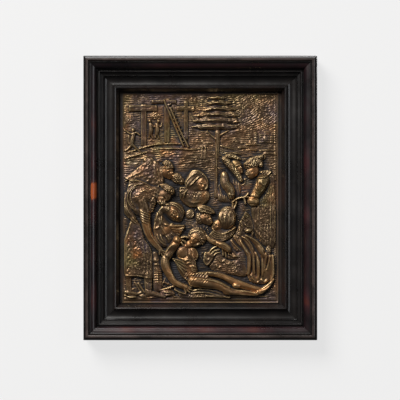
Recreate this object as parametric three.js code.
// Framed relief plaque: a cast bronze relief of a mourning group before three crosses and a tree,
// held in the rebate of a mitred, moulded and ebonised wooden frame and closed by a back board.
// Millimetres, +Z up. The relief faces -Y, the back lies in the plane y = 0, and the origin is the
// centre of that back, where the plaque meets a wall.
import * as THREE from "three";

// ---- Driving dimensions ----
const FRAME_WIDTH = 240;
const FRAME_HEIGHT = 292;
const RAIL_WIDTH = 36; // outer edge to sight edge
const FRAME_DEPTH = 27.5; // back plane to the crest of the outer bead
const GAP = 0.3; // clearance between pieces that touch
const REBATE_WIDTH = 4.5; // how far the rebate reaches outwards under the sight edge
const REBATE_DEPTH = 9.3; // back plane to the underside of the lip
const PLATE_THICKNESS = 3; // metal under the lowest ground of the relief
const RIM_WIDTH = 1.6; // raised fillet round the relief
const RIM_HEIGHT = 1.1;
const RIM_INSET = 1; // sight edge to rim
const FIELD_COLUMNS = 48; // grid lines over the carved field
const FIELD_ROWS = 62;
const SKIRT = 3.2; // width of the soft foot round each form
const HALF_TURN = Math.PI;

// ---- Worked-out sizes ----
const PLATE_HALF_WIDTH = FRAME_WIDTH / 2 - RAIL_WIDTH + REBATE_WIDTH - GAP;
const PLATE_HALF_HEIGHT = FRAME_HEIGHT / 2 - RAIL_WIDTH + REBATE_WIDTH - GAP;
const PLATE_FRONT = REBATE_DEPTH - GAP; // back plane to the flat ground of the relief
const PLATE_BACK = PLATE_FRONT - PLATE_THICKNESS;
const RIM_OUTER = GAP - REBATE_WIDTH - RIM_INSET; // measured from the plate's edge
const FIELD_INSET = -RIM_OUTER + RIM_WIDTH + 1.2;

const ebonised = new THREE.MeshStandardMaterial({ color: 0x14110f, roughness: 0.35, metalness: 0 });
const bronze = new THREE.MeshStandardMaterial({ color: 0x6b4c2a, roughness: 0.42, metalness: 0.9 });
const oldPine = new THREE.MeshStandardMaterial({ color: 0x6d5236, roughness: 0.8, metalness: 0 });

// ---- Frame ----
// One quarter or half arc of a moulding, as points (u, h): u runs inwards from the outer edge and
// h forwards from the back plane.
function arc(centreU, centreH, radiusU, radiusH, from, to, steps) {
  return Array.from({ length: steps + 1 }, (_, i) => {
    const angle = from + ((to - from) * i) / steps;
    return new THREE.Vector2(centreU + radiusU * Math.cos(angle), centreH + radiusH * Math.sin(angle));
  });
}

function railProfile() {
  const point = (u, h) => new THREE.Vector2(u, h);
  const beadRadius = 1.9;
  const beadCentre = 4.1;
  const beadFoot = FRAME_DEPTH - beadRadius;
  const coveCentre = 26;
  const coveHalfWidth = 5.6;
  const coveEdge = 17.6;
  const coveDepth = 3.6;
  return [
    point(0, 0),
    point(0, beadFoot - 1.6),
    point(0.8, beadFoot - 0.8),
    point(beadCentre - beadRadius, beadFoot - 0.8),
    ...arc(beadCentre, beadFoot, beadRadius, beadRadius, HALF_TURN, 0, 8),
    point(beadCentre + beadRadius, beadFoot - 1.1),
    point(7.4, beadFoot - 1.1),
    // sloping band, very slightly hollow
    point(7.4, beadFoot - 2),
    point(10.5, 21.4),
    point(13.6, 19.9),
    // quirk and small bead
    point(13.6, 18.9),
    point(14.7, 18.9),
    ...arc(15.9, 18.9, 1.2, 1.3, HALF_TURN, 0, 6),
    point(17.3, 18.2),
    point(19.4, 17.9),
    point(19.4, coveEdge - 0.9),
    point(coveCentre - coveHalfWidth, coveEdge - 0.9),
    // wide cove
    ...arc(coveCentre, coveEdge, coveHalfWidth, coveDepth, HALF_TURN, 2 * HALF_TURN, 12),
    // fillet and bevelled sight edge
    point(32.6, coveEdge + 0.3),
    point(33.5, coveEdge - 0.4),
    point(33.5, coveEdge - 1.2),
    point(RAIL_WIDTH, 12.6),
    point(RAIL_WIDTH, REBATE_DEPTH),
    point(RAIL_WIDTH - REBATE_WIDTH, REBATE_DEPTH),
    point(RAIL_WIDTH - REBATE_WIDTH, 0),
  ];
}

// A straight moulding whose two ends are cut at 45 degrees. It is made as the top rail, with its
// outer edge at z = 0, then turned about Y and pushed out to its side of the frame.
function makeRail(name, length, reach, turn) {
  const geometry = new THREE.ExtrudeGeometry(new THREE.Shape(railProfile()), {
    depth: length,
    bevelEnabled: false,
    steps: 1,
  });
  const position = geometry.getAttribute("position");
  const mitreGap = (GAP / 2) * Math.SQRT2;
  for (let i = 0; i < position.count; i += 1) {
    const cut = position.getX(i) + mitreGap;
    const along = position.getZ(i);
    position.setZ(i, (along < length / 2 ? along + cut : along - cut) - length / 2);
  }
  const inwards = new THREE.Vector3(0, 0, -1);
  const forwards = new THREE.Vector3(0, -1, 0);
  const alongRail = new THREE.Vector3(-1, 0, 0);
  geometry.applyMatrix4(new THREE.Matrix4().makeBasis(inwards, forwards, alongRail));
  const mesh = new THREE.Mesh(geometry, ebonised);
  mesh.name = name;
  mesh.position.z = reach;
  const side = new THREE.Group();
  side.rotation.y = turn;
  side.add(mesh);
  return side;
}

// ---- Relief forms ----
// A form gives the height of its surface above the relief's ground at (x, z), or 0 clear of it.
// x and z are measured from the plate's centre. Every form stands on a soft foot, SKIRT wide.
const footing = (outside) => 1 - THREE.MathUtils.smoothstep(outside, 0, SKIRT);

// A rounded mass: half sizes, turn in degrees, height of its edge and of its crown above the edge.
function mass(x0, z0, halfWidth, halfHeight, turn, edge, crown) {
  const angle = THREE.MathUtils.degToRad(turn);
  return (x, z) => {
    const a = ((x - x0) * Math.cos(angle) + (z - z0) * Math.sin(angle)) / halfWidth;
    const b = ((z - z0) * Math.cos(angle) - (x - x0) * Math.sin(angle)) / halfHeight;
    const reach = Math.hypot(a, b);
    if (reach < 1) return edge + crown * (1 - reach * reach);
    return edge * footing((reach - 1) * Math.min(halfWidth, halfHeight));
  };
}

// A tapering limb or fold through joints [x, z, radius], its axis lifted off the ground.
function limb(lift, ...joints) {
  const rise = 0.75; // share of a full round
  return (x, z) => {
    let height = 0;
    for (let i = 1; i < joints.length; i += 1) {
      const [x0, z0, r0] = joints[i - 1];
      const [x1, z1, r1] = joints[i];
      const lengthSquared = (x1 - x0) ** 2 + (z1 - z0) ** 2;
      const along = ((x - x0) * (x1 - x0) + (z - z0) * (z1 - z0)) / lengthSquared;
      const t = THREE.MathUtils.clamp(along, 0, 1);
      const distance = Math.hypot(x - x0 - t * (x1 - x0), z - z0 - t * (z1 - z0));
      const radius = r0 + t * (r1 - r0);
      const round = rise * radius * (1 - (distance / radius) ** 2);
      height = Math.max(height, distance < radius ? lift + round : lift * footing(distance - radius));
    }
    return height;
  };
}

// A flat raised block, such as a beam.
function block(x0, x1, z0, z1, height) {
  return (x, z) => height * footing(Math.max(x0 - x, x - x1, z0 - z, z - z1, 0));
}

function crosses() {
  const upright = 3.2;
  const height = 1.5;
  const cross = (x, foot, beamBottom, beamTop, armLeft, armRight) => [
    block(x - upright, x + upright, foot, beamTop, height),
    block(x - armLeft, x + armRight, beamBottom, beamTop, height),
  ];
  return [
    ...cross(-59, 54, 89, 97, 15, 13),
    ...cross(-34, 57, 98, 104, 15, 11),
    ...cross(-14.5, 56, 90, 95, 9, 11),
  ];
}

function tree() {
  const tiers = 5;
  const crown = Array.from({ length: tiers }, (_, i) =>
    mass(17 + 0.4 * i, 72 + 6.4 * i, 26 - 3.4 * i, 4.4, -2, 0.8, 1.8),
  );
  return [...crown, limb(0.6, [17.5, 70, 2.8], [16.5, 40, 2.4], [16, 4, 2.6])];
}

function town() {
  return [block(56, 59, 54, 68, 1.1), block(63, 73, 55, 67, 1.2), block(46, 63, 53, 56, 0.8)];
}

function manBehindLeft() {
  return [
    mass(-58, 25, 24, 12, 22, 1.2, 2.6),
    mass(-34, 31, 7, 8.5, 20, 2.4, 3),
    mass(-24, 21, 7, 6, -40, 2, 2),
  ];
}

function stoopingMan() {
  return [
    mass(-62, 3, 17, 15, 0, 3, 4.2),
    mass(-35.5, 9, 9, 8, -25, 4, 3.4),
    mass(-46, 9, 12, 7, -12, 3, 2.6),
    limb(3, [-73, 0, 6], [-72, -16, 4.5]),
    limb(4.5, [-58, -2, 7.5], [-56.5, -20, 6]),
    limb(4, [-56.5, -20, 5.6], [-51, -38, 4.6], [-41, -53, 3]),
    mass(-38.5, -55, 4.5, 3, -40, 4, 1.8),
    limb(1.8, [-69, -18, 8], [-64, -50, 12], [-63.5, -72, 14]),
    limb(2.2, [-54, -82, 4.6], [-52, -100, 3.4], [-41, -101.5, 2.4]),
    limb(1.4, [-73, -82, 3.6], [-72, -97, 3], [-62, -100.5, 2.2]),
  ];
}

function veiledWoman() {
  return [
    mass(-5, 18, 11, 10, 35, 2.6, 3.4),
    mass(-2, 15, 6, 7, -20, 3.6, 2.4),
    mass(-5, -1, 14.5, 9.5, 0, 2.2, 2.8),
  ];
}

function beardedMan() {
  return [
    mass(36, 34, 9, 12, 32, 2.8, 3.4),
    limb(3.4, [27, 41, 4], [44, 17, 3.2]),
    mass(28, 13, 7.5, 14, 22, 2.8, 3.4),
    mass(36, 8, 13, 12, 0, 1.4, 2),
  ];
}

function manAtRight() {
  return [
    mass(57, 35, 10, 9.5, 30, 3, 3.4),
    limb(3.4, [66, 20, 6.5], [58, 8, 6], [54, -1, 7]),
    limb(2.6, [50, -3, 5], [39, -3, 3.2]),
    limb(1.6, [67, 12, 9], [66, -20, 9], [66, -46, 8]),
  ];
}

function mourningMother() {
  return [
    mass(-30, -16, 15.5, 11.5, -38, 3.6, 3.2),
    mass(-30, -17, 7, 8.5, 42, 5, 2.8),
    mass(-33, -34, 11, 12, 0, 3.4, 3),
    mass(-21, -31, 7, 3.4, -8, 5, 2.2),
    limb(3, [-44, -14, 4], [-46, -32, 4], [-38, -48, 5]),
    limb(1.6, [-44, -66, 6], [-43, -92, 6]),
  ];
}

function cappedWoman() {
  return [
    mass(4, -15, 9.5, 8.5, -25, 3.4, 3.4),
    mass(11, -21, 5.5, 7, 20, 3.4, 2.6),
    mass(0, -30, 10, 8, 0, 2, 1.8),
  ];
}

function kneelingWoman() {
  return [
    mass(28, -21, 11, 14, 0, 3.6, 4),
    mass(20, -35, 12, 7, -20, 3, 2.4),
    mass(44, -26, 12, 16, 20, 2.6, 2.8),
    limb(3, [10, -40, 3.6], [18, -46, 3.8], [28, -51, 3.6]),
    limb(3.2, [44, -42, 3.6], [51, -58, 3.8], [51.5, -80, 3]),
    limb(2.4, [50, -40, 3.6], [60, -48, 5], [68, -57, 4]),
    limb(2.4, [58, -56, 3.6], [60, -86, 3.4]),
    limb(1.8, [66, -58, 3.6], [67, -80, 3]),
  ];
}

function recliningBody() {
  return [
    mass(-5, -40, 8, 9.5, -20, 4.4, 3),
    limb(4.6, [-24, -45, 5], [-33.5, -61, 4.8]),
    limb(4.8, [-35.5, -62, 5], [-35, -70, 5], [-27, -87, 3.6], [-13, -94.5, 2.8]),
    mass(-17, -58, 9, 13, 22, 3.2, 3),
    mass(-19, -73, 12, 6, -42, 3, 2.4),
    limb(3.6, [-8, -88, 7.6], [22, -90, 6.6], [36, -92, 5.6], [61, -97, 3.6], [68, -93, 3]),
    limb(2.2, [0, -80, 5], [28, -83, 4.2], [60, -91, 3.2], [74, -85, 2.6]),
  ];
}

const FORMS = [
  ...crosses(),
  ...tree(),
  ...town(),
  ...manBehindLeft(),
  ...stoopingMan(),
  ...veiledWoman(),
  ...beardedMan(),
  ...manAtRight(),
  ...mourningMother(),
  ...cappedWoman(),
  ...kneelingWoman(),
  ...recliningBody(),
  block(-90, 90, -110, -103.5, 1.6), // ledge along the foot of the scene
];

const reliefHeight = (x, z) => FORMS.reduce((height, form) => Math.max(height, form(x, z)), 0);

// ---- Plate ----
// Grid lines across one half-size: the flange under the lip, the rim, then even steps over the field.
function gridLines(half, count) {
  const rimOuter = half + RIM_OUTER;
  const border = [half, rimOuter + 0.1, rimOuter, rimOuter - RIM_WIDTH, rimOuter - RIM_WIDTH - 0.1];
  const reach = half - FIELD_INSET;
  const field = Array.from({ length: count }, (_, i) => -reach + (2 * reach * i) / (count - 1));
  return [...border.map((v) => -v), ...field, ...border.reverse()];
}

function plateHeight(x, z) {
  const fromEdge = Math.min(PLATE_HALF_WIDTH - Math.abs(x), PLATE_HALF_HEIGHT - Math.abs(z));
  const onRim = fromEdge > -RIM_OUTER - 0.05 && fromEdge < -RIM_OUTER + RIM_WIDTH + 0.05;
  if (onRim) return RIM_HEIGHT;
  return fromEdge > FIELD_INSET - 0.01 ? reliefHeight(x, z) : 0;
}

function makePlate() {
  const xs = gridLines(PLATE_HALF_WIDTH, FIELD_COLUMNS);
  const zs = gridLines(PLATE_HALF_HEIGHT, FIELD_ROWS);
  const vertices = [];
  const faces = [];
  for (const z of zs) {
    for (const x of xs) vertices.push(x, -PLATE_FRONT - plateHeight(x, z), z);
  }
  const at = (column, row) => row * xs.length + column;
  for (let row = 0; row + 1 < zs.length; row += 1) {
    for (let column = 0; column + 1 < xs.length; column += 1) {
      const [a, b] = [at(column, row), at(column + 1, row)];
      const [c, d] = [at(column + 1, row + 1), at(column, row + 1)];
      faces.push(a, b, c, a, c, d);
    }
  }
  // the border, once round, walled back and closed by a fan on the flat rear face
  const lastColumn = xs.length - 1;
  const lastRow = zs.length - 1;
  const border = [
    ...xs.slice(0, -1).map((_, i) => at(i, 0)),
    ...zs.slice(0, -1).map((_, i) => at(lastColumn, i)),
    ...xs.slice(0, -1).map((_, i) => at(lastColumn - i, lastRow)),
    ...zs.slice(0, -1).map((_, i) => at(0, lastRow - i)),
  ];
  const firstRear = vertices.length / 3;
  for (const i of border) vertices.push(vertices[3 * i], -PLATE_BACK, vertices[3 * i + 2]);
  const centre = vertices.length / 3;
  vertices.push(0, -PLATE_BACK, 0);
  border.forEach((front, i) => {
    const next = (i + 1) % border.length;
    faces.push(front, firstRear + i, border[next], border[next], firstRear + i, firstRear + next);
    faces.push(firstRear + next, firstRear + i, centre);
  });
  const geometry = new THREE.BufferGeometry();
  geometry.setAttribute("position", new THREE.Float32BufferAttribute(vertices, 3));
  geometry.setIndex(faces);
  geometry.computeVertexNormals();
  const mesh = new THREE.Mesh(geometry, bronze);
  mesh.name = "relief_plate";
  return mesh;
}

// ---- Back board ----
function makeBackBoard() {
  const thickness = PLATE_BACK - GAP;
  const geometry = new THREE.BoxGeometry(2 * PLATE_HALF_WIDTH, thickness, 2 * PLATE_HALF_HEIGHT);
  const mesh = new THREE.Mesh(geometry, oldPine);
  mesh.name = "back_board";
  mesh.position.y = -thickness / 2;
  return mesh;
}

const plaque = new THREE.Group();
plaque.add(
  makeRail("rail_top", FRAME_WIDTH, FRAME_HEIGHT / 2, 0),
  makeRail("rail_right", FRAME_HEIGHT, FRAME_WIDTH / 2, HALF_TURN / 2),
  makeRail("rail_bottom", FRAME_WIDTH, FRAME_HEIGHT / 2, HALF_TURN),
  makeRail("rail_left", FRAME_HEIGHT, FRAME_WIDTH / 2, -HALF_TURN / 2),
  makePlate(),
  makeBackBoard(),
);

export default plaque;
